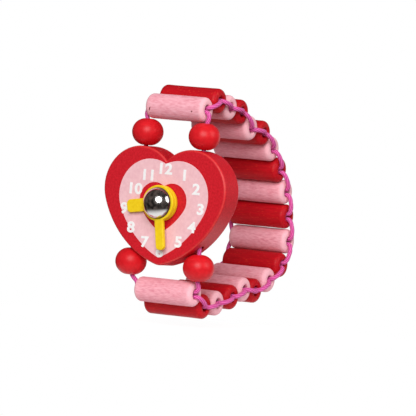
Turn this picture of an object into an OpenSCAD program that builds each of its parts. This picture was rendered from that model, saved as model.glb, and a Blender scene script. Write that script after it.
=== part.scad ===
// Toy wrist watch: a wooden heart with turnable hands, on a strap of wooden dowels and balls that are
// threaded on an elastic cord.
// Sizes are in millimetres. X runs along the dowels, the dial faces -Y, and +Z points to twelve.
// The origin lies in the wrist opening, level with the pin of the hands.

/* [Heart case] */
// Width across both lobes
heart_w = 48; // [42:0.5:54]
// Height from the lobes to the tip
heart_h = 39.5; // [35:0.5:43]
// Radius of each lobe
lobe_r = 14; // [12:0.5:16]
// Radius of the bulging sides
side_r = 33; // [28:0.5:38]
// Thickness of the slab
heart_t = 9; // [7:0.5:12]
// Height of the pin above the heart's tip
pin_over_tip = 20.9; // [18:0.1:23]
// Distance from the wrist opening's middle to the back of the heart
wrist_front = 25; // [22:0.5:30]

/* [Hands and pin] */
// Thickness of each hand
hand_t = 1.5; // [1:0.1:2.2]
// Radius of the round hub of each hand
hub_r = 6; // [5:0.1:7]
// Length of the hour hand from the pin
hour_l = 13.2; // [10:0.1:14]
// Width of the hour hand
hour_w = 4.4; // [3:0.1:6]
// Corner radius at the end of the hour hand
hour_corner_r = 1.4; // [0.5:0.1:1.4]
// Where the hour hand points, clockwise from twelve
hour_at = 261; // [0:1:359]
// Length of the minute hand from the pin
minute_l = 15.7; // [12:0.1:17]
// Width of the minute hand
minute_w = 3.2; // [3:0.1:6]
// Corner radius at the end of the minute hand
minute_corner_r = 1.4; // [0.5:0.1:1.4]
// Where the minute hand points, clockwise from twelve
minute_at = 171; // [0:1:359]
// Diameter of the pin's shank
shank_d = 2.4; // [1.6:0.1:3]
// Depth of the shank in the heart
shank_depth = 6; // [4:0.5:6.5]
// Diameter of the pin's domed head
dome_d = 10.6; // [8:0.2:11.6]
// Height of the domed head
dome_h = 4; // [2.5:0.1:4.5]
// Gap between the heart, the hands and the head
hand_gap = 0.2; // [0.15:0.05:0.4]
// Play of the hands on the shank, on the radius
hand_play = 0.12; // [0.1:0.02:0.3]
// Clearance of the shank in its blind hole, on the radius
shank_fit = 0.05; // [0.03:0.01:0.1]

/* [Balls] */
// Diameter of a ball at its equator
ball_d = 10.6; // [9.4:0.1:11.4]
// Height of a ball along its hole
ball_h = 9.2; // [8:0.1:10.2]
// How far the upper balls sit in from the heart's sides
ball_top_in = 12.8; // [11.5:0.1:14.5]
// How far the lower balls sit in from the heart's sides
ball_bottom_in = 10.6; // [9.5:0.1:12]
// Gap between a ball and what it sits against
ball_gap = 0.1; // [0.1:0.05:0.4]

/* [Dowels] */
// Diameter of a dowel
dowel_d = 8.4; // [7:0.1:9]
// Length of a dowel
dowel_l = 22.5; // [18:0.5:28]
// Rounding at the ends of a dowel
dowel_end_r = 1.5; // [0.5:0.1:2]
// Gap between neighbouring dowels
dowel_gap = 0.2; // [0.2:0.05:0.6]
// How far the first dowel sits behind the middle of the heart's thickness
first_back = 0.4; // [0:0.1:2]
// How far the last dowel sits behind the middle of the heart's thickness
last_back = 1.7; // [0:0.1:2]

/* [Elastic cord] */
// Diameter of the cord
cord_d = 1.5; // [1:0.1:1.6]
// Diameter of the hole through a dowel
bore_d = 3.5; // [3.4:0.1:4]
// Chamfer at the mouths of the dowels' holes
bore_flare = 0.5; // [0.4:0.1:0.8]
// Diameter of the holes through the heart and the balls
hole_d = 3; // [2.8:0.1:3.4]
// Gap between the two strands in a dowel
strand_gap = 0.24; // [0.15:0.02:0.3]
// How far the middle of the cord stands out from the ends of the dowels
loop_out = 1.3; // [1.2:0.05:1.6]

/* [Hidden] */

$fn = 96;
red = [0.80, 0.07, 0.11];
pink = [0.93, 0.60, 0.67];
yellow = [0.95, 0.80, 0.10];
steel = [0.75, 0.76, 0.78];
cord_pink = [0.88, 0.33, 0.62];
overcut = 1;
quarter_turn = 90;
half_turn = 180;
full_turn = 360;

// Heart: each half is a lobe circle inside a side circle, and the side circles meet at the tip.
// The lobe pokes out of the side circle by a hair, so that the two arcs cross at a clear angle.
lobe_poke = 0.05;
tip_z = -pin_over_tip;
lobe_x = heart_w / 2 - lobe_r;
lobe_z = tip_z + heart_h - lobe_r;
lobe_c = [lobe_x, lobe_z];
tip_c = [0, tip_z];
arm = side_r - lobe_r + lobe_poke;
to_tip = tip_c - lobe_c;
tip_run = norm(to_tip);
tip_dir = to_tip / tip_run;
arm_along = (arm * arm - side_r * side_r + tip_run * tip_run) / (2 * tip_run);
arm_across = sqrt(arm * arm - arm_along * arm_along);
side_c = lobe_c + arm_along * tip_dir + arm_across * [tip_dir[1], -tip_dir[0]];
side_top_a = atan2(lobe_c[1] - side_c[1], lobe_c[0] - side_c[0]);
heart_mid_y = -wrist_front - heart_t / 2;
face_y = -wrist_front - heart_t;

// Balls: the upper ones rest on the lobes, the lower ones hang under the sides.
ball_top_x = heart_w / 2 - ball_top_in;
ball_bottom_x = heart_w / 2 - ball_bottom_in;
ball_round_r = ball_h / 2;
ball_bulge = (ball_d - ball_h) / 2;

// Height of a ball's middle over the centre of a round flank, with the gap between their arcs
function seat_height(x, flank_x, flank_r) =
    let (reach = flank_r + ball_round_r + ball_gap)
    let (across = max(0, abs(x - flank_x) - ball_bulge))
    sqrt(reach * reach - across * across);

ball_top_z = lobe_z + seat_height(ball_top_x, lobe_x, lobe_r);
ball_bottom_z = side_c[1] - seat_height(ball_bottom_x, side_c[0], side_r);

// Strap: the dowels lie as in the photograph. The chain is curled a little and turned as a whole until
// its last dowel meets the lower balls, so it closes for every size.
dowels = 19;
pitch = dowel_d + dowel_gap;
// Direction of the way from each dowel to the next, 0 towards the back and 90 upwards
link_lie = [23, -12, -7, -37, -8, -37, -54, -60, -77, -83, -107, -141, -154, -182, -162, -165, -172, -208];
// How far each dowel has slipped along its own length
slip_step = 0.1;
dowel_slip = slip_step * [1, 2, -6, -12, -12, -11, -12, -5, 1, 3, 9, 6, 0, -4, 4, 8, 3, 5, 10];
ball_stack = ball_h / 2 + ball_gap + dowel_d / 2;
first_c = [heart_mid_y + first_back, ball_top_z + ball_stack];
last_c = [heart_mid_y + last_back, ball_bottom_z - ball_stack];
closing = last_c - first_c;
curl_limit = 60;
curl_steps = 40;

function unit(a) = [cos(a), sin(a)];
function sum_to(list, count) = count == 0 ? [0, 0] : list[count - 1] + sum_to(list, count - 1);
function link_dirs(curl) = [for (i = [0 : dowels - 2]) link_lie[i] + curl * (2 * i / (dowels - 2) - 1)];
function chain_reach(curl) = sum_to([for (a = link_dirs(curl)) pitch * unit(a)], dowels - 1);
function find_curl(low, high, steps) =
    let (mid = (low + high) / 2)
    steps == 0 ? mid
    : norm(chain_reach(mid)) > norm(closing) ? find_curl(low, mid, steps - 1)
    : find_curl(mid, high, steps - 1);

curl = find_curl(-curl_limit, curl_limit, curl_steps);
open_reach = chain_reach(curl);
turn = atan2(closing[1], closing[0]) - atan2(open_reach[1], open_reach[0]);
link_a = [for (a = link_dirs(curl)) a + turn];
links = [for (a = link_a) pitch * unit(a)];
dowel_c = [for (k = [0 : dowels - 1]) first_c + sum_to(links, k)];

// Cord: one closed cord goes round the strap twice and passes each dowel from opposite ends.
cord_r = cord_d / 2;
cord_sides = 6;
strand_off = (cord_d + strand_gap) / 2;
bore_steps = 5;
bend_step = 30;
// How far a strand runs up or down while it bends into the first or last dowel
mouth_drop = 2.2;
// How far a strand leans sideways at the outer mouth of a ball
ball_lean = 0.5;
up_a = quarter_turn;
round_a = up_a - full_turn;
front_a = half_turn;
// Direction of the strap at each dowel, halfway between the ways before and after it
strap_a = [
    for (k = [0 : dowels - 1])
        ((k == 0 ? up_a : link_a[k - 1]) + (k == dowels - 1 ? round_a : link_a[k])) / 2
];

function at(x, yz, a) = [[x, yz[0], yz[1]], a];

// A strand through dowel k, from its end at side, turning half round the other strand
function bore_run(k, side, bulge) = [
    for (i = [0 : bore_steps])
        let (s = i / bore_steps)
        let (yz = dowel_c[k] + strand_off * unit(strap_a[k] + half_turn * (1 - bulge * s)))
        at(dowel_slip[k] + side * (1 - 2 * s) * dowel_l / 2, yz, strap_a[k] + quarter_turn)
];

// The bend from dowel k to the next, past their ends at side
function end_loop(k, side) =
    let (from = dowel_c[k] + strand_off * unit(strap_a[k]))
    let (to = dowel_c[k + 1] - strand_off * unit(strap_a[k + 1]))
    [
        for (a = [bend_step : bend_step : half_turn - bend_step])
            let (s = (1 - cos(a)) / 2)
            let (slip = dowel_slip[k] * (1 - s) + dowel_slip[k + 1] * s)
            at(slip + side * (dowel_l / 2 + loop_out * sin(a)), from + (to - from) * s, link_a[k] + quarter_turn)
    ];

function strap_pass(side, bulge) = [
    for (k = [0 : dowels - 1])
        let (entry = k % 2 == 0 ? side : -side)
        each concat(bore_run(k, entry, bulge), k < dowels - 1 ? end_loop(k, -entry) : [])
];

// The way from the last dowel up through the lower ball, the heart and the upper ball to the first dowel
function heart_run(side) =
    let (low_end = dowel_slip[dowels - 1] + side * dowel_l / 2)
    let (high_end = dowel_slip[0] + side * dowel_l / 2)
    let (out = side * loop_out)
    let (leave = last_c + strand_off * unit(strap_a[dowels - 1]))
    let (enter = first_c - strand_off * unit(strap_a[0]))
    let (low_y = (heart_mid_y * 2 + leave[0]) / 3)
    let (high_y = (heart_mid_y * 2 + enter[0]) / 3)
    [
        for (a = [bend_step : bend_step : quarter_turn])
            at(low_end + out * sin(a), leave + [0, mouth_drop * (1 - cos(a))], front_a),
        at(side * (ball_bottom_x - ball_lean), [low_y, ball_bottom_z - ball_h / 2], front_a),
        at(side * ball_bottom_x, [heart_mid_y, ball_bottom_z], front_a),
        at(side * ball_top_x, [heart_mid_y, ball_top_z], front_a),
        at(side * (ball_top_x + ball_lean), [high_y, ball_top_z + ball_h / 2], front_a),
        for (a = [quarter_turn : -bend_step : bend_step])
            at(high_end + out * sin(a), enter - [0, mouth_drop * (1 - cos(a))], front_a)
    ];

cord_path = concat(strap_pass(1, 1), heart_run(-1), strap_pass(-1, -1), heart_run(1));
cord_rings = len(cord_path);

function cord_point(i) = cord_path[(i + cord_rings) % cord_rings][0];
function cord_ring(i) =
    let (way = cord_point(i + 1) - cord_point(i - 1))
    let (outward = [0, cos(cord_path[i][1]), sin(cord_path[i][1])])
    let (across = cross(way, outward) / norm(cross(way, outward)))
    let (up = cross(across, way) / norm(way))
    [
        for (j = [0 : cord_sides - 1])
            let (a = full_turn * j / cord_sides)
            cord_point(i) + cord_r * (cos(a) * across + sin(a) * up)
    ];

cord_steps = [for (i = [0 : cord_rings - 1]) norm(cord_point(i + 1) - cord_point(i))];
echo(cord_length = cord_steps * [for (step = cord_steps) 1]);

// The outline: two lobe circles, and under them the overlap of the two side circles.
module heart_outline() {
    reach = 2 * heart_w;
    right = lobe_c + reach * unit(side_top_a);
    for (side = [-1, 1])
        translate([side * lobe_x, lobe_z])
            circle(lobe_r);
    intersection() {
        translate(side_c)
            circle(side_r);
        translate([-side_c[0], side_c[1]])
            circle(side_r);
        polygon([
            lobe_c, right, [right[0], -reach],
            [-right[0], -reach], [-right[0], right[1]], [-lobe_x, lobe_z]
        ]);
    }
}

module cord_hole(side) {
    drop = ball_top_z - ball_bottom_z;
    lean = atan2(side * (ball_bottom_x - ball_top_x), drop);
    translate([side * ball_bottom_x, heart_mid_y, ball_bottom_z])
        rotate([0, -lean, 0])
            cylinder(h = norm([drop, ball_bottom_x - ball_top_x]), d = hole_d);
}

module heart_case() {
    color(red)
        difference() {
            translate([0, -wrist_front, 0])
                rotate([90, 0, 0])
                    linear_extrude(heart_t)
                        heart_outline();
            for (side = [-1, 1])
                cord_hole(side);
            translate([0, face_y + shank_depth, 0])
                rotate([90, 0, 0])
                    cylinder(h = shank_depth + overcut, r = shank_d / 2 + shank_fit);
        }
}

// A hand lies flat in XY and points along +X, with its back at Z = 0.
module hand_blank(reach, width, corner_r) {
    difference() {
        union() {
            cylinder(h = hand_t, r = hub_r);
            translate([0, -width / 2, 0])
                cube([reach - corner_r, width, hand_t]);
            translate([0, corner_r - width / 2, 0])
                cube([reach, width - 2 * corner_r, hand_t]);
            for (end = [-1, 1])
                translate([reach - corner_r, end * (width / 2 - corner_r), 0])
                    cylinder(h = hand_t, r = corner_r);
        }
        translate([0, 0, -overcut])
            cylinder(h = hand_t + 2 * overcut, r = shank_d / 2 + hand_play);
    }
}

module hour_hand() {
    color(yellow)
        translate([0, face_y - hand_gap, 0])
            rotate([90, 0, 0])
                rotate([0, 0, quarter_turn - hour_at])
                    hand_blank(hour_l, hour_w, hour_corner_r);
}

module minute_hand() {
    color(yellow)
        translate([0, face_y - 2 * hand_gap - hand_t, 0])
            rotate([90, 0, 0])
                rotate([0, 0, quarter_turn - minute_at])
                    hand_blank(minute_l, minute_w, minute_corner_r);
}

module dome_pin() {
    stack = 3 * hand_gap + 2 * hand_t;
    dome_r = (dome_d * dome_d / 4 + dome_h * dome_h) / (2 * dome_h);
    color(steel)
        translate([0, face_y - stack, 0])
            rotate([90, 0, 0])
                rotate_extrude() {
                    intersection() {
                        translate([0, dome_h - dome_r])
                            circle(dome_r);
                        square([dome_d, dome_h]);
                    }
                    translate([0, -stack - shank_depth + hand_gap])
                        square([shank_d / 2, stack + shank_depth]);
                }
}

module ball(side, x, z) {
    color(red)
        translate([side * x, heart_mid_y, z])
            rotate_extrude()
                difference() {
                    translate([ball_bulge, 0])
                        circle(ball_round_r);
                    translate([-ball_d, -ball_h])
                        square([ball_d + hole_d / 2, 2 * ball_h]);
                }
}

module ball_top_left() {
    ball(-1, ball_top_x, ball_top_z);
}

module ball_top_right() {
    ball(1, ball_top_x, ball_top_z);
}

module ball_bottom_left() {
    ball(-1, ball_bottom_x, ball_bottom_z);
}

module ball_bottom_right() {
    ball(1, ball_bottom_x, ball_bottom_z);
}

function dowel_name(k) = str("dowel_", k < 9 ? "0" : "", k + 1);

module dowel_profile() {
    straight = dowel_l / 2 - dowel_end_r;
    difference() {
        union() {
            translate([0, -straight])
                square([dowel_d / 2, 2 * straight]);
            translate([0, -dowel_l / 2])
                square([dowel_d / 2 - dowel_end_r, dowel_l]);
            for (end = [-1, 1])
                translate([dowel_d / 2 - dowel_end_r, end * straight])
                    circle(dowel_end_r);
        }
        translate([0, -dowel_l])
            square([bore_d / 2, 2 * dowel_l]);
        for (end = [-1, 1])
            translate([bore_d / 2, end * dowel_l / 2])
                rotate([0, 0, 45])
                    square(bore_flare * sqrt(2), center = true);
    }
}

module dowel(k) {
    color(k % 2 == 0 ? pink : red)
        translate([dowel_slip[k], dowel_c[k][0], dowel_c[k][1]])
            rotate([0, 90, 0])
                rotate_extrude()
                    dowel_profile();
}

module elastic_cord() {
    color(cord_pink)
        polyhedron(
            points = [for (i = [0 : cord_rings - 1]) each cord_ring(i)],
            faces = [
                for (i = [0 : cord_rings - 1], j = [0 : cord_sides - 1])
                    let (here = i * cord_sides)
                    let (next = ((i + 1) % cord_rings) * cord_sides)
                    let (k = (j + 1) % cord_sides)
                    each [[here + j, here + k, next + k], [here + j, next + k, next + j]]
            ]
        );
}

heart_case();
hour_hand();
minute_hand();
dome_pin();
ball_top_left();
ball_top_right();
ball_bottom_left();
ball_bottom_right();
for (k = [0 : dowels - 1])
    dowel(k);
elastic_cord();
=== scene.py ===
# %% [markdown]
# # A wooden toy watch
# The object is a child's pretend watch: a painted wooden heart with two turning hands, tied to a strap
# of wooden dowels by one elastic cord. The CAD frame already holds every solid in its real place.
# This lesson dresses those solids with softer edges, print, wood grain, chrome and a ribbed cord, and
# takes every place from the frame, so that nothing has to be fitted by eye.

# %% Load the frame
import math
import bmesh
import bpy
from mathutils import Matrix, Vector


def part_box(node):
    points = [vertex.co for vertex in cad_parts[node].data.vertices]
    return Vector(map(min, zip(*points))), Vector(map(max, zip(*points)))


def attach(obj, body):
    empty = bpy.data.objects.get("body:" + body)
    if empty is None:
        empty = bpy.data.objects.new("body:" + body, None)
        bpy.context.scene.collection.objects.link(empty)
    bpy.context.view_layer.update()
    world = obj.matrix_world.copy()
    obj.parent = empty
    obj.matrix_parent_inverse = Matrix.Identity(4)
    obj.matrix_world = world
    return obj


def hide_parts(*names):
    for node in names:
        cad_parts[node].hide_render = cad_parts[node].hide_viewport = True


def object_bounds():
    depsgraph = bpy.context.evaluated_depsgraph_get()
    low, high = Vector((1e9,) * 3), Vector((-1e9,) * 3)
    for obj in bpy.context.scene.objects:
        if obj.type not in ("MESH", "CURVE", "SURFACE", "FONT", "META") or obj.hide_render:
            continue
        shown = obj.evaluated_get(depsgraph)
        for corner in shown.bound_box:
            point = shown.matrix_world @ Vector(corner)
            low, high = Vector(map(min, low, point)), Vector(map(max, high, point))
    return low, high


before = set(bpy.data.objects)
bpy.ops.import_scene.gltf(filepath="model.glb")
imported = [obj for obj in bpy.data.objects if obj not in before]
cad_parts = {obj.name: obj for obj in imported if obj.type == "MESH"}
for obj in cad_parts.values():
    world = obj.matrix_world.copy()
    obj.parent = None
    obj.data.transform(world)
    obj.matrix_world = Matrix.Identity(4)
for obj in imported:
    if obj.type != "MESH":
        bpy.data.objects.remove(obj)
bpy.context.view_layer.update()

MM = 0.001

# %% [markdown]
# ## Measures from the frame
# A node's box gives its place and its size. The middle of a dowel's box is a point on its axis, and the
# heart's box gives the front face that the print lies on.

# %% Read places from the frame
def box_of(node):
    low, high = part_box(node)
    return Vector(low), Vector(high)


def middle_of(node):
    low, high = box_of(node)
    return (low + high) / 2


heart_low, heart_high = box_of("heart_case")
face_y = heart_low.y
back_y = heart_high.y
heart_mid_y = (face_y + back_y) / 2
pin = Vector((0, face_y, 0))
dowel_names = sorted(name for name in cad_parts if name.startswith("dowel_"))
dowel_mids = [middle_of(name) for name in dowel_names]
dowel_low, dowel_high = box_of(dowel_names[0])
dowel_half = (dowel_high.x - dowel_low.x) / 2
dowel_r = (dowel_high.z - dowel_low.z) / 2
print("face at y =", round(face_y / MM, 2), "mm; dowels:", len(dowel_names))

# %% [markdown]
# ## The camera
# The photograph looks at the dial from its right, almost level, and is rolled by a few degrees. The
# watch keeps its size from front to back, so the camera stands far off with a long lens. It looks at
# the middle of the picture, which lies a little to the right of the pin, and needs no lens shift.

# %% Set the camera
PICTURE = 416
VIEW_AZIMUTH = math.radians(32.2)
VIEW_ELEVATION = math.radians(1.0)
VIEW_ROLL = math.radians(5.0)
VIEW_DISTANCE = 1.5
PIXELS_PER_M = 3000
PIN_PIXEL = (162.8, 203.3)

right = Vector((math.cos(VIEW_AZIMUTH), math.sin(VIEW_AZIMUTH), 0))
forward = Vector((
    -math.sin(VIEW_AZIMUTH) * math.cos(VIEW_ELEVATION),
    math.cos(VIEW_AZIMUTH) * math.cos(VIEW_ELEVATION),
    -math.sin(VIEW_ELEVATION),
))
up = right.cross(forward)
rolled_right = right * math.cos(VIEW_ROLL) + up * math.sin(VIEW_ROLL)
rolled_up = up * math.cos(VIEW_ROLL) - right * math.sin(VIEW_ROLL)
focal_pixels = PIXELS_PER_M * VIEW_DISTANCE
to_middle = (
    forward
    + rolled_right * (PICTURE / 2 - PIN_PIXEL[0]) / focal_pixels
    - rolled_up * (PICTURE / 2 - PIN_PIXEL[1]) / focal_pixels
).normalized()
side = (rolled_right - to_middle * rolled_right.dot(to_middle)).normalized()
camera_data = bpy.data.cameras.new("camera")
camera_data.sensor_width = 36
camera_data.lens = focal_pixels / PICTURE * camera_data.sensor_width
camera_data.clip_end = 20
camera = bpy.data.objects.new("camera", camera_data)
axes = Matrix((side, side.cross(to_middle), -to_middle)).transposed()
camera.matrix_world = Matrix.Translation(pin - forward * VIEW_DISTANCE) @ axes.to_4x4()
bpy.context.scene.collection.objects.link(camera)
bpy.context.scene.camera = camera
print("lens:", round(camera_data.lens, 1), "mm")

# %% [markdown]
# ## Light and background
# A product photograph like this has a large soft box over the camera, a second one at the right, a white
# table close under the object, a white sheet behind it and a dark room around. The chrome head shows them
# all, so they are all here. The white behind the watch comes from the world as the camera and reflections
# see it, and the light that the world sheds on the watch is much weaker.

# %% Make the background white
WHITE = (1, 1, 1, 1)
ROOM_LIGHT = 0.25
scene = bpy.context.scene
scene.view_settings.view_transform = "Standard"


def node_tree(owner):
    owner.use_nodes = True
    owner.node_tree.nodes.clear()
    return owner.node_tree


def link_nodes(tree, source, output, target, socket):
    tree.links.new(source.outputs[output], target.inputs[socket])


def math_node(tree, operation):
    node = tree.nodes.new("ShaderNodeMath")
    node.operation = operation
    return node


def white_light(tree, kind, strength):
    node = tree.nodes.new(kind)
    node.inputs["Color"].default_value = WHITE
    node.inputs["Strength"].default_value = strength
    return node


def mix_shaders(tree, share, first, second):
    """Mixes two shader sockets by a socket of shares."""
    mix = tree.nodes.new("ShaderNodeMixShader")
    for place, socket in enumerate((share, first, second)):
        tree.links.new(socket, mix.inputs[place])
    return mix.outputs["Shader"]


def seen_directly(tree):
    """One for camera, glossy and transmission rays, so metal shows the same background."""
    path = tree.nodes.new("ShaderNodeLightPath")
    first = math_node(tree, "MAXIMUM")
    either = math_node(tree, "MAXIMUM")
    link_nodes(tree, path, "Is Camera Ray", first, 0)
    link_nodes(tree, path, "Is Glossy Ray", first, 1)
    link_nodes(tree, first, "Value", either, 0)
    link_nodes(tree, path, "Is Transmission Ray", either, 1)
    return either.outputs["Value"]


world = bpy.data.worlds.new("studio")
scene.world = world
tree = node_tree(world)
room_light = white_light(tree, "ShaderNodeBackground", ROOM_LIGHT)
white_back = white_light(tree, "ShaderNodeBackground", 1)
background = mix_shaders(
    tree, seen_directly(tree), room_light.outputs["Background"], white_back.outputs["Background"]
)
world_out = tree.nodes.new("ShaderNodeOutputWorld")
tree.links.new(background, world_out.inputs["Surface"])
print("light from all sides:", ROOM_LIGHT)

# %% [markdown]
# The two highlights on the chrome head tell where the soft boxes hang. A third, weaker one behind the
# watch keeps the back of the strap from going dark when it is turned round. Reflections don't show it.

# %% Hang the soft boxes
BOX_DISTANCE = 0.9


def soft_box(name, direction, size, watts):
    lamp = bpy.data.lights.new(name, "AREA")
    lamp.shape = "ELLIPSE"
    lamp.size = size[0]
    lamp.size_y = size[1]
    lamp.energy = watts
    obj = bpy.data.objects.new(name, lamp)
    obj.location = pin + Vector(direction).normalized() * BOX_DISTANCE
    obj.rotation_euler = (pin - obj.location).to_track_quat("-Z", "Y").to_euler()
    scene.collection.objects.link(obj)
    return obj


soft_box("box_over_camera", direction=(0.37, -0.82, 0.43), size=(0.62, 0.62), watts=7.7)
soft_box("box_at_right", direction=(0.88, 0.11, 0.45), size=(0.5, 0.6), watts=2.7)
box_behind = soft_box("box_behind", direction=(-0.45, 0.85, 0.28), size=(0.7, 0.6), watts=2.6)
box_behind.visible_glossy = False
print("lamps:", [lamp.name for lamp in bpy.data.lights])

# %% [markdown]
# ## Floor and room
# The floor is a round sheet of white paper that keeps the shadow of the watch. It fades out towards its
# rim, so that the chrome shows no hard edge, and it lies just under the lowest place that the strap
# reaches when it flexes.

# %% Lay the floor
FLOOR_R = 0.085
FLOOR_FADE = 0.042
FLEX_DROP = 3.2 * MM
PAPER = (0.85, 0.85, 0.85, 1)
GLOW = 1.06
GLOW_SHARE = 0.9
floor_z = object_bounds()[0][2] - FLEX_DROP

bpy.ops.object.select_all(action="DESELECT")
bpy.ops.mesh.primitive_circle_add(vertices=96, radius=FLOOR_R, fill_type="NGON", location=(0, 0, floor_z))
floor = bpy.context.object
floor.name = "floor"
floor_paint = bpy.data.materials.new("floor_paper")
tree = node_tree(floor_paint)
paper = tree.nodes.new("ShaderNodeBsdfDiffuse")
paper.inputs["Color"].default_value = PAPER
glow = white_light(tree, "ShaderNodeEmission", GLOW)
share = math_node(tree, "MULTIPLY")
share.inputs[1].default_value = GLOW_SHARE
tree.links.new(seen_directly(tree), share.inputs[0])
sheet = mix_shaders(tree, share.outputs["Value"], paper.outputs["BSDF"], glow.outputs["Emission"])

place = tree.nodes.new("ShaderNodeTexCoord")
from_middle = tree.nodes.new("ShaderNodeVectorMath")
from_middle.operation = "LENGTH"
fade = tree.nodes.new("ShaderNodeMapRange")
fade.interpolation_type = "SMOOTHSTEP"
fade.inputs["From Min"].default_value = FLOOR_FADE
fade.inputs["From Max"].default_value = FLOOR_R
link_nodes(tree, place, "Object", from_middle, 0)
link_nodes(tree, from_middle, "Value", fade, "Value")
clear = tree.nodes.new("ShaderNodeBsdfTransparent")
faded = mix_shaders(tree, fade.outputs["Result"], sheet, clear.outputs["BSDF"])
floor_out = tree.nodes.new("ShaderNodeOutputMaterial")
tree.links.new(faded, floor_out.inputs["Surface"])
floor.data.materials.append(floor_paint)
print("floor at z =", round(floor_z / MM, 2), "mm")

# %% [markdown]
# The dark room is a shell with an opening for the white sheet. It starts as a sphere, and the faces where
# the sheet hangs are taken out. Noise makes it unevenly dark, as a room is, and only reflections see it.

# %% Hang the dark room
ROOM_R = 3.0
SHEET_FROM = 0.9
SHEET_TOP = 0.3
CORNERS = (0.7, 0.7, 0.7)
DARK_CORNER = (0.010, 0.008, 0.007)
PALE_CORNER = (0.130, 0.100, 0.090)


def select_faces(obj, test):
    """In edit mode, selects the faces that pass the test."""
    bpy.ops.mesh.select_mode(type="FACE")
    bpy.ops.mesh.select_all(action="DESELECT")
    mesh = bmesh.from_edit_mesh(obj.data)
    for face in mesh.faces:
        face.select_set(test(face))
    bmesh.update_edit_mesh(obj.data)


def before_sheet(face):
    middle = face.calc_center_median()
    return middle.y > SHEET_FROM * ROOM_R and middle.z < SHEET_TOP * ROOM_R


def stretched_noise(tree, scale, detail):
    """Noise over Object coordinates, with a scale per metre along each axis."""
    place = tree.nodes.new("ShaderNodeTexCoord")
    stretch = tree.nodes.new("ShaderNodeMapping")
    stretch.inputs["Scale"].default_value = scale
    noise = tree.nodes.new("ShaderNodeTexNoise")
    noise.inputs["Scale"].default_value = 1
    noise.inputs["Detail"].default_value = detail
    link_nodes(tree, place, "Object", stretch, "Vector")
    link_nodes(tree, stretch, "Vector", noise, "Vector")
    return noise


def ramp_between(tree, source, low, high, colours):
    """Goes from the first colour to the second while the source goes from low to high."""
    ramp = tree.nodes.new("ShaderNodeValToRGB")
    ramp.color_ramp.elements[0].position = low
    ramp.color_ramp.elements[1].position = high
    ramp.color_ramp.elements[0].color = (*colours[0], 1)
    ramp.color_ramp.elements[1].color = (*colours[1], 1)
    link_nodes(tree, source, "Fac", ramp, "Fac")
    return ramp.outputs["Color"]


bpy.ops.object.select_all(action="DESELECT")
bpy.ops.mesh.primitive_uv_sphere_add(segments=48, ring_count=24, radius=ROOM_R)
room = bpy.context.object
room.name = "dark_room"
bpy.ops.object.mode_set(mode="EDIT")
select_faces(room, before_sheet)
bpy.ops.mesh.delete(type="FACE")
bpy.ops.object.mode_set(mode="OBJECT")
room_paint = bpy.data.materials.new("dark_room")
tree = node_tree(room_paint)
corners = stretched_noise(tree, CORNERS, detail=3)
shades = ramp_between(tree, corners, low=0.38, high=0.66, colours=(DARK_CORNER, PALE_CORNER))
dark = tree.nodes.new("ShaderNodeEmission")
tree.links.new(shades, dark.inputs["Color"])
room_out = tree.nodes.new("ShaderNodeOutputMaterial")
link_nodes(tree, dark, "Emission", room_out, "Surface")
room.data.materials.append(room_paint)
room.visible_camera = False
room.visible_diffuse = False
room.visible_transmission = False
room.visible_shadow = False
print("faces of the dark room:", len(room.data.polygons))

# %% [markdown]
# ## Finishes
# Paint on wood is never one flat colour: it is thicker here and thinner there, and the grain stands up
# under it. Each finish starts from one helper that mixes two near colours with stretched noise and uses
# the same noise for a very low bump. Object coordinates keep the grain at its real size, and since every
# piece lies at its own place, no two dowels get the same streaks. The rim of the heart is lighter in
# patches, partly rubbed paint and partly a painted highlight, where an attribute on its points says so.

# %% Helpers for finishes
MIX_SHARE, MIX_FIRST, MIX_SECOND, MIX_COLOUR = 0, 6, 7, 2


def finish_nodes(name, rough, gloss):
    material = bpy.data.materials.new(name)
    tree = node_tree(material)
    shader = tree.nodes.new("ShaderNodeBsdfPrincipled")
    out = tree.nodes.new("ShaderNodeOutputMaterial")
    shader.inputs["Roughness"].default_value = rough
    shader.inputs["Specular IOR Level"].default_value = gloss
    link_nodes(tree, shader, "BSDF", out, "Surface")
    return material, tree, shader


def low_bump(tree, noise, shader, height):
    bump = tree.nodes.new("ShaderNodeBump")
    bump.inputs["Strength"].default_value = 1
    bump.inputs["Distance"].default_value = height
    link_nodes(tree, noise, "Fac", bump, "Height")
    link_nodes(tree, bump, "Normal", shader, "Normal")


def mix_colours(tree, share, first, second):
    """Mixes a colour socket with a fixed colour, by a socket of shares."""
    mix = tree.nodes.new("ShaderNodeMix")
    mix.data_type = "RGBA"
    tree.links.new(share, mix.inputs[MIX_SHARE])
    tree.links.new(first, mix.inputs[MIX_FIRST])
    mix.inputs[MIX_SECOND].default_value = (*second, 1)
    return mix.outputs[MIX_COLOUR]


def share_above(tree, noise, low, high, most):
    """A share that grows from nothing to most while the noise goes from low to high."""
    band = tree.nodes.new("ShaderNodeMapRange")
    band.inputs["From Min"].default_value = low
    band.inputs["From Max"].default_value = high
    band.inputs["To Max"].default_value = most
    link_nodes(tree, noise, "Fac", band, "Value")
    return band.outputs["Result"]


def point_mark(tree, name):
    """Reads a value that is written on the points of a piece."""
    mark = tree.nodes.new("ShaderNodeAttribute")
    mark.attribute_name = name
    return mark


def painted_wood(name, thin, thick, rough, grain, height, gloss=0.2, flecks=None):
    """Paint over grain, with small worn flecks where a colour is given for them."""
    material, tree, shader = finish_nodes(name, rough, gloss)
    streaks = stretched_noise(tree, grain, detail=5)
    colour = ramp_between(tree, streaks, low=0.34, high=0.66, colours=(thin, thick))
    if flecks:
        spots = stretched_noise(tree, FLECK, detail=2)
        colour = mix_colours(tree, share_above(tree, spots, low=0.62, high=0.70, most=0.5), colour, flecks)
    tree.links.new(colour, shader.inputs["Base Color"])
    low_bump(tree, streaks, shader, height)
    return material, tree, shader, colour


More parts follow.
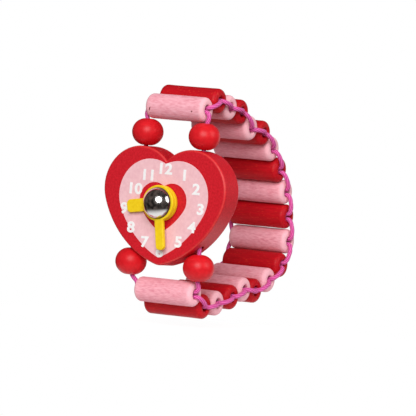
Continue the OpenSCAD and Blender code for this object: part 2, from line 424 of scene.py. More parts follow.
# %% Mix the paints
LENGTHWISE = (240, 2300, 2300)
EVEN = (900, 900, 900)
SANDED = (1500, 1500, 1500)
FLECK = (1100, 2600, 2600)
RUBBED_AND_LIT_RED = (0.80, 0.10, 0.07)

case_red, tree, shader, colour = painted_wood(
    "case_red", thin=(0.54, 0.006, 0.014), thick=(0.69, 0.012, 0.025),
    rough=0.40, grain=SANDED, height=0.03 * MM, gloss=0.3,
)
# The lighter patches on the front rim are partly rubbed paint and partly a painted highlight.
patches = stretched_noise(tree, EVEN, detail=3)
worn = math_node(tree, "MULTIPLY")
link_nodes(tree, point_mark(tree, "edge_wear_and_highlight"), "Fac", worn, 0)
link_nodes(tree, patches, "Fac", worn, 1)
colour = mix_colours(tree, worn.outputs["Value"], colour, RUBBED_AND_LIT_RED)
tree.links.new(colour, shader.inputs["Base Color"])

ball_red = painted_wood(
    "ball_red", thin=(0.64, 0.007, 0.013), thick=(0.73, 0.011, 0.018),
    rough=0.38, grain=EVEN, height=0.01 * MM, gloss=0.25,
)[0]
dowel_red = painted_wood(
    "dowel_red", thin=(0.44, 0.003, 0.009), thick=(0.55, 0.005, 0.013),
    rough=0.45, grain=LENGTHWISE, height=0.03 * MM, gloss=0.15, flecks=(0.78, 0.07, 0.03),
)[0]
hand_yellow = painted_wood(
    "hand_yellow", thin=(0.86, 0.57, 0.006), thick=(0.92, 0.65, 0.014),
    rough=0.45, grain=EVEN, height=0.01 * MM,
)[0]
print_pink = painted_wood(
    "print_pink", thin=(0.86, 0.49, 0.53), thick=(0.92, 0.56, 0.59),
    rough=0.55, grain=EVEN, height=0.005 * MM,
)[0]
print_white = painted_wood(
    "print_white", thin=(0.88, 0.86, 0.86), thick=(0.95, 0.94, 0.94),
    rough=0.55, grain=EVEN, height=0.005 * MM,
)[0]
print("finishes:", len(bpy.data.materials))

# %% [markdown]
# The pink dowels are only stained, so their grain shows as short fine streaks under a wider mottling, and
# the stain has worn lighter over the rounded ends. The wear follows the shape, so it comes from an
# attribute that is written on the dowel's points.

# %% Mix the pink stain
SHORT_GRAIN = (560, 2700, 2700)
MOTTLE = (330, 480, 480)
MOTTLED_PINK = (0.96, 0.50, 0.57)
WORN_PINK = (0.95, 0.52, 0.57)
dowel_pink, tree, shader, colour = painted_wood(
    "dowel_pink", thin=(0.77, 0.26, 0.32), thick=(0.96, 0.47, 0.54),
    rough=0.75, grain=SHORT_GRAIN, height=0.07 * MM, gloss=0.1,
)
clouds = stretched_noise(tree, MOTTLE, detail=3)
colour = mix_colours(tree, share_above(tree, clouds, low=0.35, high=0.75, most=0.45), colour, MOTTLED_PINK)
colour = mix_colours(tree, point_mark(tree, "end_wear").outputs["Fac"], colour, WORN_PINK)
tree.links.new(colour, shader.inputs["Base Color"])
print("finishes:", len(bpy.data.materials))

# %% [markdown]
# The pin's head is polished chrome with a faint haze from handling; the dark ring at its rim is painted
# shade and painted reflection. The cover of the cord is braided, its grooves carry painted shade and its
# ridges a painted highlight. Both the ring and the ridges are marked by attributes on the points, because
# they follow the shape.

# %% Mix the chrome and the elastic
BARE_CHROME = (0.74, 0.73, 0.72)
RIM_SHADE_CHROME = (0.07, 0.06, 0.05)
HANDLING = (500, 500, 500)
HAZE_LOW, HAZE_HIGH = 0.10, 0.20
chrome, tree, shader = finish_nodes("chrome", rough=HAZE_LOW, gloss=0.5)
shader.inputs["Metallic"].default_value = 1
# The dark ring at the rim is painted shade and painted reflection, not a colour of the metal.
rim_shade_colour = ramp_between(
    tree, point_mark(tree, "rim"), low=0.0, high=1.0, colours=(BARE_CHROME, RIM_SHADE_CHROME)
)
tree.links.new(rim_shade_colour, shader.inputs["Base Color"])
smear = tree.nodes.new("ShaderNodeMapRange")
smear.inputs["To Min"].default_value = HAZE_LOW
smear.inputs["To Max"].default_value = HAZE_HIGH
link_nodes(tree, stretched_noise(tree, HANDLING, detail=6), "Fac", smear, "Value")
link_nodes(tree, smear, "Result", shader, "Roughness")

# The dark grooves are painted shade and the light ridges a painted highlight.
SHADED_GROOVE_PINK = (0.46, 0.014, 0.17)
LIT_RIDGE_PINK = (0.98, 0.21, 0.57)
FIBRES = (6000, 6000, 6000)
elastic, tree, shader = finish_nodes("elastic", rough=0.62, gloss=0.15)
shader.inputs["Sheen Weight"].default_value = 0.04
rib_light_and_shade = ramp_between(
    tree, point_mark(tree, "rib"), low=0.0, high=1.0, colours=(SHADED_GROOVE_PINK, LIT_RIDGE_PINK)
)
tree.links.new(rib_light_and_shade, shader.inputs["Base Color"])
low_bump(tree, stretched_noise(tree, FIBRES, detail=2), shader, height=0.02 * MM)
print("finishes:", len(bpy.data.materials))

# %% [markdown]
# ## Drawing with arcs
# Every outline here is made of straight lines and arcs. In edit mode one point can be drawn along: a
# spin carries it round a centre and leaves an arc behind, and an extrude carries it along a line. A
# plane that is merged to its centre gives the first point. A spin turns against the right-hand rule, so
# for someone who looks at the dial, along +Y, a spin about -Y runs clockwise.

# %% Drawing helpers
FULL_TURN = 2 * math.pi
QUARTER_TURN = math.pi / 2
FRONTWARD = Vector((0, -1, 0))
CLOCKWISE = (0, -1, 0)
MERGE_WITHIN = 0.002 * MM
MIRROR_WITHIN = 0.02 * MM
TOUCH = 0.01 * MM


def start_point(name, point):
    bpy.ops.object.select_all(action="DESELECT")
    bpy.ops.mesh.primitive_plane_add(size=MM)
    obj = bpy.context.object
    obj.name = name
    bpy.ops.object.mode_set(mode="EDIT")
    bpy.ops.mesh.select_mode(type="VERT")
    bpy.ops.mesh.select_all(action="SELECT")
    bpy.ops.mesh.merge(type="CENTER")
    bpy.ops.transform.translate(value=point)
    return obj


def draw_arc(center, axis, angle, steps):
    bpy.ops.mesh.spin(steps=steps, angle=angle, center=center, axis=axis)


def draw_line(way):
    bpy.ops.mesh.extrude_region_move(TRANSFORM_OT_translate={"value": way})


def thicken(depth):
    """Carries the selected faces along Y and leaves walls behind."""
    bpy.ops.mesh.extrude_region_move(TRANSFORM_OT_translate={"value": (0, depth, 0)})


def merge_points():
    bpy.ops.mesh.select_mode(type="VERT")
    bpy.ops.mesh.select_all(action="SELECT")
    bpy.ops.mesh.remove_doubles(threshold=MERGE_WITHIN)


def face_outwards():
    bpy.ops.mesh.select_all(action="SELECT")
    bpy.ops.mesh.normals_make_consistent(inside=False)


# %% Helpers for pieces
def apply_modifier(obj, kind, **settings):
    bpy.ops.object.mode_set(mode="OBJECT")
    bpy.context.view_layer.objects.active = obj
    modifier = obj.modifiers.new(kind.lower(), kind)
    for key, value in settings.items():
        setattr(modifier, key, value)
    bpy.ops.object.modifier_apply(modifier=modifier.name)


def select_edges(obj, *tests):
    """In edit mode, selects the edges whose two points both pass one of the tests."""
    bpy.ops.mesh.select_mode(type="EDGE")
    bpy.ops.mesh.select_all(action="DESELECT")
    mesh = bmesh.from_edit_mesh(obj.data)
    for edge in mesh.edges:
        edge.select_set(any(all(test(point.co) for point in edge.verts) for test in tests))
    mesh.select_flush_mode()
    bmesh.update_edit_mesh(obj.data)


def near_y(y):
    return lambda co: abs(co.y - y) < TOUCH


def finish_piece(obj, material, body, slot, *nodes, crease=35):
    """Smooths the piece, gives it its finish, hangs it on its body and hides the frame nodes it replaces.
    """
    bpy.ops.object.mode_set(mode="OBJECT")
    bpy.ops.object.select_all(action="DESELECT")
    obj.select_set(True)
    bpy.context.view_layer.objects.active = obj
    bpy.ops.object.transform_apply(location=True, rotation=True, scale=True)
    bpy.ops.object.shade_smooth_by_angle(angle=math.radians(crease))
    obj.data.materials.clear()
    obj.data.materials.append(material)
    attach(obj, body)
    if nodes:
        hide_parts(*nodes)
    print(obj.name, "faces:", len(obj.data.polygons))


# %% [markdown]
# ## The heart
# The case is a thick slab sawn to a heart. Half of its outline is two arcs: a lobe, and a long, flatter
# side that runs on from the lobe without a kink, down to the tip. The same two arcs, smaller, make both
# outlines of the print. Where two arcs join without a kink, their centres and the joint lie on one line,
# so the side's centre is where two circles cross, and it is worked out from there.

# %% Draw half a heart
def heart_half(width, top, tip, lobe_r, side_r):
    """Centres and angles of the two arcs of a heart's right half, in the XZ plane."""
    lobe = Vector((width / 2 - lobe_r, top - lobe_r))
    to_tip = Vector((0, tip)) - lobe
    arm = side_r - lobe_r
    along = (arm ** 2 - side_r ** 2 + to_tip.length ** 2) / (2 * to_tip.length)
    across = math.sqrt(arm ** 2 - along ** 2)
    way = to_tip.normalized()
    side = lobe + way * along + Vector((way.y, -way.x)) * across
    cleft_a = math.pi - math.acos(lobe.x / lobe_r)
    touch = lobe - side
    touch_a = math.atan2(touch.y, touch.x)
    tip_a = math.atan2(tip - side.y, -side.x)
    cleft_z = lobe.y + lobe_r * math.sin(cleft_a)
    return lobe, side, cleft_z, cleft_a - touch_a, touch_a - tip_a


def draw_heart(name, y, sizes):
    lobe, side, cleft_z, lobe_turn, side_turn = heart_half(**sizes)
    obj = start_point(name, (0, y, cleft_z))
    draw_arc((lobe.x, y, lobe.y), CLOCKWISE, lobe_turn, steps=40)
    draw_arc((side.x, y, side.y), CLOCKWISE, side_turn, steps=24)
    apply_modifier(obj, "MIRROR", merge_threshold=MIRROR_WITHIN)
    return obj


# %% Saw the heart
TIP_EDGE = 1.2 * MM
case_sizes = {
    "width": heart_high.x - heart_low.x, "top": heart_high.z, "tip": heart_low.z,
    "lobe_r": 14 * MM, "side_r": 33 * MM,
}


def at_tip(co):
    return abs(co.x) < 0.05 * MM and co.z < pin.z


case = draw_heart("heart_body", face_y, case_sizes)
bpy.ops.object.mode_set(mode="EDIT")
merge_points()
bpy.ops.mesh.edge_face_add()
thicken(back_y - face_y)
face_outwards()
select_edges(case, at_tip)
bpy.ops.mesh.bevel(offset=TIP_EDGE, segments=4, affect="EDGES")
bpy.ops.object.mode_set(mode="OBJECT")
print("case points:", len(case.data.vertices))

# %% [markdown]
# Sandpaper has broken the slab's edges. A bevel on the front and back rims rounds them. The cord's holes
# run slanted through both sides from the upper to the lower ball, and the pin has a blind hole, so three
# cylinders are taken away with Booleans.

# %% Round the rims and drill the holes
CASE_EDGE = 0.8 * MM
HOLE_R = 1.5 * MM
SHANK_HOLE_R = 1.25 * MM
SHANK_DEPTH = 6 * MM
DRILL_PAST = 1 * MM
RUB_AND_HIGHLIGHT_DEPTH = 0.24 * MM


def drill(obj, start, end, radius):
    bpy.ops.object.mode_set(mode="OBJECT")
    bpy.ops.object.select_all(action="DESELECT")
    way = end - start
    bpy.ops.mesh.primitive_cylinder_add(
        vertices=40, radius=radius, depth=way.length, location=(start + end) / 2,
        rotation=way.to_track_quat("Z", "Y").to_euler(),
    )
    cutter = bpy.context.object
    apply_modifier(obj, "BOOLEAN", operation="DIFFERENCE", solver="EXACT", object=cutter)
    bpy.data.objects.remove(cutter)


bpy.ops.object.mode_set(mode="EDIT")
select_edges(case, near_y(face_y), near_y(back_y))
bpy.ops.mesh.bevel(offset=CASE_EDGE, segments=5, affect="EDGES")
for hand_side in ("left", "right"):
    drill(case, middle_of("ball_bottom_" + hand_side), middle_of("ball_top_" + hand_side), HOLE_R)
drill(case, pin + FRONTWARD * DRILL_PAST, pin - FRONTWARD * SHANK_DEPTH, SHANK_HOLE_R)
finish_piece(case, case_red, "watch_head", "red_paint", "heart_case")
apply_modifier(case, "WEIGHTED_NORMAL", keep_sharp=True)
# Marks the front rim for lighter paint: partly rubbed, partly a painted highlight along the edge.
marks = case.data.attributes.new("edge_wear_and_highlight", "FLOAT", "POINT")
for point, mark in zip(case.data.vertices, marks.data):
    mark.value = max(0, 1 - abs(point.co.y - face_y - RUB_AND_HIGHLIGHT_DEPTH) / RUB_AND_HIGHLIGHT_DEPTH)
print("points on the rubbed rim:", sum(mark.value > 0 for mark in marks.data))

# %% [markdown]
# ## The print
# The pink on the face is one thin layer of paint, with a small heart left open in it where the red case
# shows through. Two heart outlines in one mesh are filled as a ring and get the thickness of paint.

# %% Print the pink heart
PAINT = 0.05 * MM
print_y = face_y - PAINT
OUTER_PRINT = {
    "width": 35 * MM, "top": 14.5 * MM, "tip": -18.2 * MM, "lobe_r": 12 * MM, "side_r": 33 * MM,
}
INNER_PRINT = {
    "width": 18.5 * MM, "top": 6.85 * MM, "tip": -9.8 * MM, "lobe_r": 5.8 * MM, "side_r": 22 * MM,
}

inner_line = draw_heart("inner_line", print_y, INNER_PRINT)
pink_print = draw_heart("pink_print", print_y, OUTER_PRINT)
bpy.ops.object.mode_set(mode="OBJECT")
inner_line.select_set(True)
pink_print.select_set(True)
bpy.context.view_layer.objects.active = pink_print
bpy.ops.object.join()
bpy.ops.object.mode_set(mode="EDIT")
merge_points()
bpy.ops.mesh.fill()
thicken(PAINT)
face_outwards()
finish_piece(pink_print, print_pink, "watch_head", "pink_paint")

# %% [markdown]
# The numerals are plain bold figures in white. They stand upright, a little inside the pink heart's rim
# at the top and across its edge lower down. Text is drawn with the built-in typeface, fattened with an
# offset, turned into a flat mesh, moved to its place, and extruded to the thickness of paint.

# %% Print the numerals
NUMERAL_H = 3.6 * MM
CAP_SHARE = 0.73
NUMERAL_FAT = 0.18 * MM
NUMERAL_WIDE = 1.2
NUMERAL_AT = {
    "12": (0.2, 11.6), "1": (7.6, 10.0), "2": (12.6, 5.7), "3": (14.9, -0.8), "4": (12.1, -7.0),
    "5": (7.4, -12.3), "6": (0.4, -16.1), "7": (-5.7, -13.4), "8": (-11.7, -8.9), "9": (-15.0, -2.8),
    "10": (-11.0, 4.1), "11": (-6.6, 9.0),
}


def numeral(text, x, z):
    bpy.ops.object.select_all(action="DESELECT")
    bpy.ops.object.text_add(rotation=(math.pi / 2, 0, 0))
    obj = bpy.context.object
    obj.data.body = text
    obj.data.size = NUMERAL_H / CAP_SHARE
    obj.data.offset = NUMERAL_FAT
    obj.data.space_character = 1.02
    obj.data.resolution_u = 4
    bpy.ops.object.convert(target="MESH")
    obj.scale.x = NUMERAL_WIDE
    bpy.ops.object.transform_apply(location=True, rotation=True, scale=True)
    xs = [point.co.x for point in obj.data.vertices]
    zs = [point.co.z for point in obj.data.vertices]
    place = Vector((x - (min(xs) + max(xs)) / 2, print_y - PAINT, z - (min(zs) + max(zs)) / 2))
    obj.data.transform(Matrix.Translation(place))
    return obj


figures = [numeral(text, x * MM, z * MM) for text, (x, z) in NUMERAL_AT.items()]
bpy.ops.object.select_all(action="DESELECT")
for figure in figures:
    figure.select_set(True)
numerals = figures[0]
bpy.context.view_layer.objects.active = numerals
bpy.ops.object.join()
numerals.name = "numerals"
bpy.ops.object.mode_set(mode="EDIT")
merge_points()
thicken(PAINT)
face_outwards()
finish_piece(numerals, print_white, "watch_head", "pink_paint")

# %% [markdown]
# ## The hands
# Each hand is a flat keyhole of painted wood: a round hub and one arm. Its outline starts where the arm
# meets the hub, runs round the hub, along the arm, round two corners and back. A low bevel gives the
# soft edge that the highlight runs along.

# %% Cut the hands
HUB_R = 6 * MM
HAND_EDGE = 0.3 * MM
HAND_HOLE_R = 1.32 * MM
CORNER_R = 1.4 * MM


def cut_hand(node, reach, width, points_to):
    """Draws a hand that points to three, then turns it to its angle clockwise from twelve."""
    low, high = box_of(node)
    half = width / 2
    joint_a = math.asin(half / HUB_R)
    joint_x = HUB_R * math.cos(joint_a)
    corner_x = reach - CORNER_R
    corner_z = half - CORNER_R
    arm_l = corner_x - joint_x
    obj = start_point(node + "_wood", (joint_x, low.y, -half))
    draw_arc((0, low.y, 0), CLOCKWISE, FULL_TURN - 2 * joint_a, steps=56)
    draw_line((arm_l, 0, 0))
    draw_arc((corner_x, low.y, corner_z), CLOCKWISE, QUARTER_TURN, steps=8)
    draw_line((0, 0, -2 * corner_z))
    draw_arc((corner_x, low.y, -corner_z), CLOCKWISE, QUARTER_TURN, steps=8)
    draw_line((-arm_l, 0, 0))
    merge_points()
    bpy.ops.mesh.edge_face_add()
    thicken(high.y - low.y)
    face_outwards()
    select_edges(obj, near_y(low.y), near_y(high.y))
    bpy.ops.mesh.bevel(offset=HAND_EDGE, segments=4, affect="EDGES")
    bpy.ops.object.mode_set(mode="OBJECT")
    obj.rotation_euler = (0, math.radians(points_to - 90), 0)
    bpy.ops.object.transform_apply(rotation=True)
    drill(obj, Vector((0, low.y - DRILL_PAST, 0)), Vector((0, high.y + DRILL_PAST, 0)), HAND_HOLE_R)
    finish_piece(obj, hand_yellow, node, "yellow_paint", node)
    apply_modifier(obj, "WEIGHTED_NORMAL", keep_sharp=True)


cut_hand("hour_hand", reach=13.2 * MM, width=4.4 * MM, points_to=261)
cut_hand("minute_hand", reach=15.7 * MM, width=3.2 * MM, points_to=171)

# %% [markdown]
# ## The pin
# The pin is like an upholstery nail: a domed chrome head on a thin shank. Its half profile is drawn from
# the middle of the dome over the rim and down the shank, and one full spin about the pin's axis turns it
# into a solid, as on a lathe. Round the rim, where it stands over the hand, the chrome is darkened with
# painted shade and painted reflection, so an attribute marks that ring for the finish.

# %% Turn the pin
DOME_H = 4 * MM
SHANK_R = 1.2 * MM
RIM_EDGE = 0.25 * MM
RIM_DROP = 0.1 * MM
RIM_SHADE_FROM, RIM_SHADE_TO = 0.90, 0.98
pin_low, pin_high = box_of("dome_pin")
dome_top_y = pin_low.y
dome_r_out = (pin_high.x - pin_low.x) / 2
dome_ball_r = (dome_r_out ** 2 + DOME_H ** 2) / (2 * DOME_H)
dome_turn = math.atan2(dome_r_out, dome_ball_r - DOME_H)

pin_piece = start_point("pin_chrome", (0, dome_top_y, 0))
draw_arc((0, dome_top_y + dome_ball_r, 0), (0, 0, -1), dome_turn, steps=24)
draw_line((-RIM_EDGE, RIM_DROP, 0))
draw_line((-(dome_r_out - RIM_EDGE - SHANK_R), -RIM_DROP, 0))
draw_line((0, pin_high.y - dome_top_y - DOME_H, 0))
draw_line((-SHANK_R, 0, 0))
bpy.ops.mesh.select_all(action="SELECT")
draw_arc((0, 0, 0), CLOCKWISE, FULL_TURN, steps=72)
merge_points()
face_outwards()
finish_piece(pin_piece, chrome, "watch_head", "chrome", "dome_pin", crease=40)
# Marks the ring of painted shade and reflection round the dome's rim.
marks = pin_piece.data.attributes.new("rim", "FLOAT", "POINT")
for point, mark in zip(pin_piece.data.vertices, marks.data):
    reach = math.hypot(point.co.x, point.co.z) / dome_r_out
    mark.value = min(1, max(0, (reach - RIM_SHADE_FROM) / (RIM_SHADE_TO - RIM_SHADE_FROM)))
print("points in the dark rim:", sum(mark.value > 0 for mark in marks.data))

# %% [markdown]
# ## The balls
# The balls are turned too: an arc that runs from one mouth of the hole round to the other, and the wall
# of the hole. They are a little wider than high, because the arc's centre lies beside the axis. One ball
# is turned, and the others are copies with a mesh of their own.

# %% Turn the balls
ball_low, ball_high = box_of("ball_top_left")
ball_round_r = (ball_high.z - ball_low.z) / 2
ball_bulge = (ball_high.x - ball_low.x) / 2 - ball_round_r
mouth_a = math.acos((HOLE_R - ball_bulge) / ball_round_r)


def turn_ball():
    mouth_z = ball_round_r * math.sin(mouth_a)
    obj = start_point("ball_master", (HOLE_R, 0, mouth_z))
    draw_arc((ball_bulge, 0, 0), CLOCKWISE, 2 * mouth_a, steps=32)
    draw_line((0, 0, 2 * mouth_z))
    merge_points()
    select_edges(obj, lambda co: co.x < HOLE_R + TOUCH)
    bpy.ops.mesh.subdivide(number_cuts=6)
    bpy.ops.mesh.select_all(action="SELECT")
    draw_arc((0, 0, 0), (0, 0, 1), FULL_TURN, steps=64)
    merge_points()
    face_outwards()
    bpy.ops.object.mode_set(mode="OBJECT")
    return obj


def copy_to(master, name, place):
    piece = master.copy()
    piece.data = master.data.copy()
    piece.name = name
    piece.data.transform(Matrix.Translation(place))
    scene.collection.objects.link(piece)
    return piece


ball_master = turn_ball()
for node in ("ball_top_left", "ball_top_right", "ball_bottom_left", "ball_bottom_right"):
    ball = copy_to(ball_master, node + "_wood", middle_of(node))
    finish_piece(ball, ball_red, node, "red_paint", node, crease=50)
bpy.data.objects.remove(ball_master)

# %% [markdown]
# ## The dowels
# A dowel is sawn from a round rod, tumbled until its ends are round, and drilled along its length. It
# starts as a cylinder: both ends are inset to the hole's size, the inner faces go, and a bridge joins the
# two openings into a bore. Bevels round the ends and break the mouths of the bore. Its length is cut into
# short rings, so that a weak cloud displacement can keep the rod from looking like a machine part.

# %% Shape one dowel
BORE_R = 1.75 * MM
END_ROUND = 1.5 * MM
MOUTH_EDGE = 0.45 * MM
RIM_WITHIN = 0.2 * MM


def is_end(face):
    return abs(face.normal.x) > 0.9


def end_rims(radius):
    """Tests for the points of a dowel's two end circles of this radius."""
    def rim_at(x):
        return lambda co: abs(co.x - x) < TOUCH and abs(math.hypot(co.y, co.z) - radius) < RIM_WITHIN
    return rim_at(-dowel_half), rim_at(dowel_half)


def shape_dowel():
    bpy.ops.object.select_all(action="DESELECT")
    bpy.ops.mesh.primitive_cylinder_add(
        vertices=56, radius=dowel_r, depth=2 * dowel_half, rotation=(0, QUARTER_TURN, 0)
    )
    obj = bpy.context.object
    obj.name = "dowel_master"
    bpy.ops.object.transform_apply(rotation=True)
    bpy.ops.object.mode_set(mode="EDIT")
    select_faces(obj, is_end)
    bpy.ops.mesh.inset(thickness=dowel_r - BORE_R, use_individual=True)
    bpy.ops.mesh.delete(type="FACE")
    select_edges(obj, *end_rims(BORE_R))
    bpy.ops.mesh.bridge_edge_loops()
    select_edges(obj, *end_rims(dowel_r))
    bpy.ops.mesh.bevel(offset=END_ROUND, segments=8, affect="EDGES")
    select_edges(obj, *end_rims(BORE_R))
    bpy.ops.mesh.bevel(offset=MOUTH_EDGE, segments=3, affect="EDGES")
    bpy.ops.mesh.select_all(action="DESELECT")
    mesh = bmesh.from_edit_mesh(obj.data)
    for edge in mesh.edges:
        edge.select_set(edge.calc_length() > dowel_half)
    bmesh.update_edit_mesh(obj.data)
    bpy.ops.mesh.subdivide(number_cuts=11)
    face_outwards()
    bpy.ops.object.mode_set(mode="OBJECT")
    return obj


# %% [markdown]
# Every dowel is a copy of that one, moved to its place before the clouds displace it, so that each gets
# its own unevenness. Pink and red take turns, and the pink ones get the marks for their worn ends.

# %% Make the strap's dowels
WOBBLE = 0.10 * MM
WEAR_FROM = 1.3 * END_ROUND
WEAR_MOST = 0.75


def write_wear(obj, mid_x):
    """Marks how far each point lies on the rounded end of the dowel, from nothing to the most wear."""
    marks = obj.data.attributes.new("end_wear", "FLOAT", "POINT")
    for point, mark in zip(obj.data.vertices, marks.data):
        reach = (abs(point.co.x - mid_x) - (dowel_half - WEAR_FROM)) / END_ROUND
        mark.value = WEAR_MOST * min(1, max(0, reach))


wood_clouds = bpy.data.textures.new("wood_clouds", "CLOUDS")
wood_clouds.noise_scale = 7 * MM
wood_clouds.noise_depth = 1
dowel_master = shape_dowel()
for index, (node, mid) in enumerate(zip(dowel_names, dowel_mids)):
    dowel = copy_to(dowel_master, node + "_wood", mid)
    apply_modifier(
        dowel, "DISPLACE", texture=wood_clouds, texture_coords="LOCAL", strength=WOBBLE, mid_level=0.5
    )
    pink = index % 2 == 0
    if pink:
        write_wear(dowel, mid.x)
    finish = dowel_pink if pink else dowel_red
    finish_piece(dowel, finish, node, "pink_paint" if pink else "red_paint", node, crease=50)
bpy.data.objects.remove(dowel_master)

# %% [markdown]
# The first dowel has been knocked twice: a short slanted scratch near its left end and a dent near its
# right end, both dark with dirt. Each is a small flat ball of dirt that is sunk into the surface almost to
# its top.

# %% Mark the first dowel
NICKS = {
    "scratch": {"x": -9.0 * MM, "slope": -15, "sizes": (0.17, 0.10, 0.75), "lean": 0.35},
    "dent": {"x": 7.6 * MM, "slope": -12, "sizes": (0.30, 0.10, 0.26), "lean": 0.0},
}
NICK_SUNK = 0.02 * MM
NICK_WOBBLE = 0.05 * MM
nick_dirt = painted_wood(
    "nick_dirt", thin=(0.10, 0.012, 0.016), thick=(0.20, 0.025, 0.030),
    rough=0.8, grain=EVEN, height=0.01 * MM, gloss=0.1,
)[0]
for nick, shape in NICKS.items():
    bpy.ops.object.select_all(action="DESELECT")
    bpy.ops.mesh.primitive_uv_sphere_add(segments=20, ring_count=12, radius=MM)
    piece = bpy.context.object
    piece.name = "dowel_01_" + nick
    bpy.ops.transform.resize(value=shape["sizes"])
    apply_modifier(piece, "DISPLACE", texture=wood_clouds, texture_coords="LOCAL", strength=NICK_WOBBLE)
    down = math.radians(shape["slope"])
    outward = Vector((0, -math.cos(down), math.sin(down)))
    mid = Vector((shape["x"], dowel_mids[0].y, dowel_mids[0].z)) + outward * (dowel_r - NICK_SUNK)
    turn = Matrix.Rotation(-down, 4, "X") @ Matrix.Rotation(shape["lean"], 4, "Y")
    piece.data.transform(Matrix.Translation(mid) @ turn @ piece.matrix_world)
    piece.matrix_world = Matrix.Identity(4)
    finish_piece(piece, nick_dirt, dowel_names[0], "pink_paint")

# %% [markdown]
# ## The elastic cord
# One cord laces the whole watch and goes round twice. It leaves a dowel, bends over to the next one and
# goes in, so each gap shows one strand at each end. Inside a dowel the two strands turn half round each
# other. The route is worked out from the dowels' places. It is cut into strands, each from the middle of
# one hole to the middle of the next, so that a strand can ride on the dowel that carries its link.

# %% Measure the links
UPWARD = math.pi / 2
FIRST_GUESS = math.pi / 4
last = len(dowel_names) - 1
dowel_yz = [Vector((mid.y, mid.z)) for mid in dowel_mids]


def unwrapped(angle, before):
    """The same direction, counted in full turns so that it lies nearest to the one before."""
    return angle + FULL_TURN * round((before - angle) / FULL_TURN)


link_a = []
heading = FIRST_GUESS
for here, there in zip(dowel_yz, dowel_yz[1:]):
    way = there - here
    heading = unwrapped(math.atan2(way.y, way.x), heading)
    link_a.append(heading)
before_a = [UPWARD] + link_a
after_a = link_a + [UPWARD - FULL_TURN]
strap_a = [(a + b) / 2 for a, b in zip(before_a, after_a)]
print("links:", len(link_a), "from", round(math.degrees(link_a[0])), "to", round(math.degrees(link_a[-1])))

# %% [markdown]
# A strand between two dowels has three parts: half of a bore, a loop past the two ends, and half of the
# next bore. In a bore the strand lies off the axis, towards the dowel before where it comes in and towards
# the dowel after where it goes out, so it turns by half a turn on its way, to one side or the other.

# %% Route the strands between the dowels
STRAND_OFF = 0.87 * MM
LOOP_OUT = {1: 1.25 * MM, -1: 1.0 * MM}
BORE_STEPS = 7
LOOP_STEPS = 14


def unit(angle):
    return Vector((math.cos(angle), math.sin(angle)))


def at(x, yz):
    return Vector((x, yz.x, yz.y))


def bore_part(k, side, bulge, start, end):
    """Points of a strand in dowel k, from share start to share end of the way through from side."""
    points = []
    for i in range(BORE_STEPS + 1):
        share = start + (end - start) * i / BORE_STEPS
        turn = strap_a[k] + math.pi - bulge * math.pi * share
        x = dowel_mids[k].x + side * (1 - 2 * share) * dowel_half
        points.append(at(x, dowel_yz[k] + unit(turn) * STRAND_OFF))
    return points


def leaving(k):
    return dowel_yz[k] + unit(strap_a[k]) * STRAND_OFF


def entering(k):
    return dowel_yz[k] - unit(strap_a[k]) * STRAND_OFF


def end_loop(k, side):
    leave = at(dowel_mids[k].x + side * dowel_half, leaving(k))
    enter = at(dowel_mids[k + 1].x + side * dowel_half, entering(k + 1))
    points = []
    for i in range(1, LOOP_STEPS):
        turn = math.pi * i / LOOP_STEPS
        out = Vector((side * LOOP_OUT[side] * math.sin(turn), 0, 0))
        points.append(leave.lerp(enter, (1 - math.cos(turn)) / 2) + out)
    return points


def link_strand(k, first_side):
    """The strand from dowel k to the next, on the round that enters the first dowel at first_side."""
    entry = first_side if k % 2 == 0 else -first_side
    return (
        bore_part(k, entry, first_side, 0.5, 1)
        + end_loop(k, -entry)
        + bore_part(k + 1, -entry, first_side, 0, 0.5)
    )


print("points of a strand:", len(link_strand(0, 1)))

# %% [markdown]
# From the last dowel the cord bends up to the lower ball, runs slanted through that ball, the heart and the
# upper ball, and bends over into the first dowel. It leans a little in the mouths of the balls, because the
# dowels pull it sideways and back.

# %% Route the strands through the heart
MOUTH_DROP = 2.2 * MM
MOUTH_STEPS = 6
MOUTH_PULL = 1 / 3
BALL_LEAN = 0.5 * MM
BALL_CLEAR = 0.7 * MM
below_ball = ball_round_r + BALL_CLEAR


def mouth_bend(end, k, side, up_or_down):
    """Points from a dowel's mouth round to the way towards the ball, nearest the dowel first."""
    points = []
    for i in range(1, MOUTH_STEPS + 1):
        turn = QUARTER_TURN * i / MOUTH_STEPS
        drop = Vector((0, up_or_down * MOUTH_DROP * (1 - math.cos(turn))))
        out = dowel_half + LOOP_OUT[side] * math.sin(turn)
        points.append(at(dowel_mids[k].x + side * out, end + drop))
    return points


def spread(points, apart=MM):
    """Adds points on the long straight stretches, so that smoothing rounds only the corners."""
    filled = [points[0]]
    for here, there in zip(points, points[1:]):
        cuts = max(1, round((there - here).length / apart))
        filled += [here.lerp(there, i / cuts) for i in range(1, cuts + 1)]
    return filled


def heart_strand(side):
    hand_side = "right" if side > 0 else "left"
    low_ball = middle_of("ball_bottom_" + hand_side)
    high_ball = middle_of("ball_top_" + hand_side)
    leave = leaving(last)
    enter = entering(0)
    low_pull = (leave.x - heart_mid_y) * MOUTH_PULL
    high_pull = (enter.x - heart_mid_y) * MOUTH_PULL
    low_mouth = low_ball + Vector((-side * BALL_LEAN, low_pull, -below_ball))
    high_mouth = high_ball + Vector((side * BALL_LEAN, high_pull, ball_round_r))
    return spread(
        bore_part(last, -side, -side, 0.5, 1)
        + mouth_bend(leave, last, side, 1)
        + [low_mouth, low_ball, high_ball, high_mouth]
        + mouth_bend(enter, 0, side, -1)[::-1]
        + bore_part(0, side, side, 0, 0.5)
    )


print("points through the heart:", len(heart_strand(1)))

# %% [markdown]
# Elastic under tension has no sharp corners, but it isn't slack either. Averaging each point with its
# neighbours a few times rounds the corners of a route, and a smooth curve through the points then gives
# closely set places for the rings of the tube.

# %% Smooth the routes
SMOOTHING = 3
STEP = 0.55 * MM


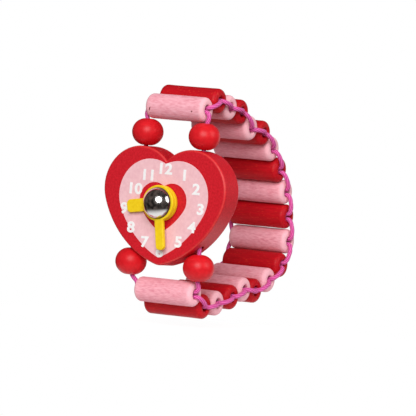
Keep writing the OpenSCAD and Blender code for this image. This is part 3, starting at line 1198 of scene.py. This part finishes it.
def smooth_route(points):
    for _ in range(SMOOTHING):
        inner = [(a + b * 2 + c) / 4 for a, b, c in zip(points, points[1:], points[2:])]
        points = [points[0]] + inner + [points[-1]]
    return points


def resample(points):
    """Points along a Catmull-Rom curve through the route, about a step apart."""
    dense = []
    ends = [points[0] * 2 - points[1]] + points + [points[-1] * 2 - points[-2]]
    for a, b, c, d in zip(ends, ends[1:], ends[2:], ends[3:]):
        cuts = max(1, round((c - b).length / STEP))
        for i in range(cuts):
            t = i / cuts
            bend = (a * 2 - b * 5 + c * 4 - d) * t ** 2 + (b * 3 - a - c * 3 + d) * t ** 3
            dense.append((b * 2 + (c - a) * t + bend) / 2)
    return dense + [points[-1]]


def route_length(route):
    return sum((b - a).length for a, b in zip(route, route[1:]))


print("first strand:", round(route_length(resample(smooth_route(link_strand(0, 1)))) / MM, 1), "mm")

# %% [markdown]
# The cord is braided, and the ribs of its cover run slantwise round it. The strand is a tube with a toothed
# section: every other point of a ring lies a little deeper, and an attribute marks the ridges, so that the
# painted shade in the grooves and the painted highlight on the ridges follow the ribs round every bend.
# The frame of each ring is carried on from the ring before, and each ring is turned a little further,
# which gives the ribs their slant.

# %% Build the strands
STRAND_R = 0.77 * MM
RIBS = 7
RIB_DEPTH = 0.13
RIB_TWIST = 14 * MM
RING = 2 * RIBS


def rings_along(route):
    """The points of a toothed ring at each point of the route."""
    points = []
    across = None
    for i, here in enumerate(route):
        way = (route[min(i + 1, len(route) - 1)] - route[max(i - 1, 0)]).normalized()
        if across is None:
            across = way.orthogonal().normalized()
        across = (across - way * across.dot(way)).normalized()
        over = way.cross(across)
        for j in range(RING):
            turn = FULL_TURN * (j / RING + i * STEP / RIB_TWIST)
            reach = STRAND_R * (1 - RIB_DEPTH * (j % 2))
            points.append(here + (across * math.cos(turn) + over * math.sin(turn)) * reach)
    return points


def faces_between(first, rings):
    """The faces from ring to ring, and a lid at each end."""
    faces = []
    for ring in range(first, first + (rings - 1) * RING, RING):
        for j in range(RING):
            k = (j + 1) % RING
            faces.append((ring + j, ring + k, ring + RING + k, ring + RING + j))
    end = first + (rings - 1) * RING
    faces.append(tuple(first + j for j in reversed(range(RING))))
    faces.append(tuple(end + j for j in range(RING)))
    return faces


def tube_mesh(name, routes):
    points = []
    faces = []
    for route in routes:
        faces += faces_between(len(points), len(route))
        points += rings_along(route)
    mesh = bpy.data.meshes.new(name)
    mesh.from_pydata(points, [], faces)
    marks = mesh.attributes.new("rib", "FLOAT", "POINT")
    marks.data.foreach_set("value", [1.0 - i % 2 for i in range(len(points))])
    obj = bpy.data.objects.new(name, mesh)
    scene.collection.objects.link(obj)
    return obj


# %% [markdown]
# Each pair of strands rides on the dowel that carries its link. The chain of links runs from both ends of
# the strap and is open after the tenth dowel, so from there on the next dowel is the one that carries. The
# strands through the heart stay with the heart, and they stand in for the cord.

# %% Lace the watch
OPEN_LINK = 9


def lay_strands(name, lines, body, *nodes):
    """Builds a pair of strands and gives their length."""
    routes = [resample(smooth_route(line)) for line in lines]
    finish_piece(tube_mesh(name, routes), elastic, body, "elastic", *nodes, crease=80)
    return sum(route_length(route) for route in routes)


cord_length = 0
for k in range(last):
    carrier = dowel_names[k] if k <= OPEN_LINK else dowel_names[k + 1]
    cord_length += lay_strands(f"strands_{k + 1:02d}", [link_strand(k, s) for s in (1, -1)], carrier)
heart_lines = [heart_strand(s) for s in (1, -1)]
cord_length += lay_strands("heart_strands", heart_lines, "watch_head", "elastic_cord")
print("cord length:", round(cord_length, 3), "m")
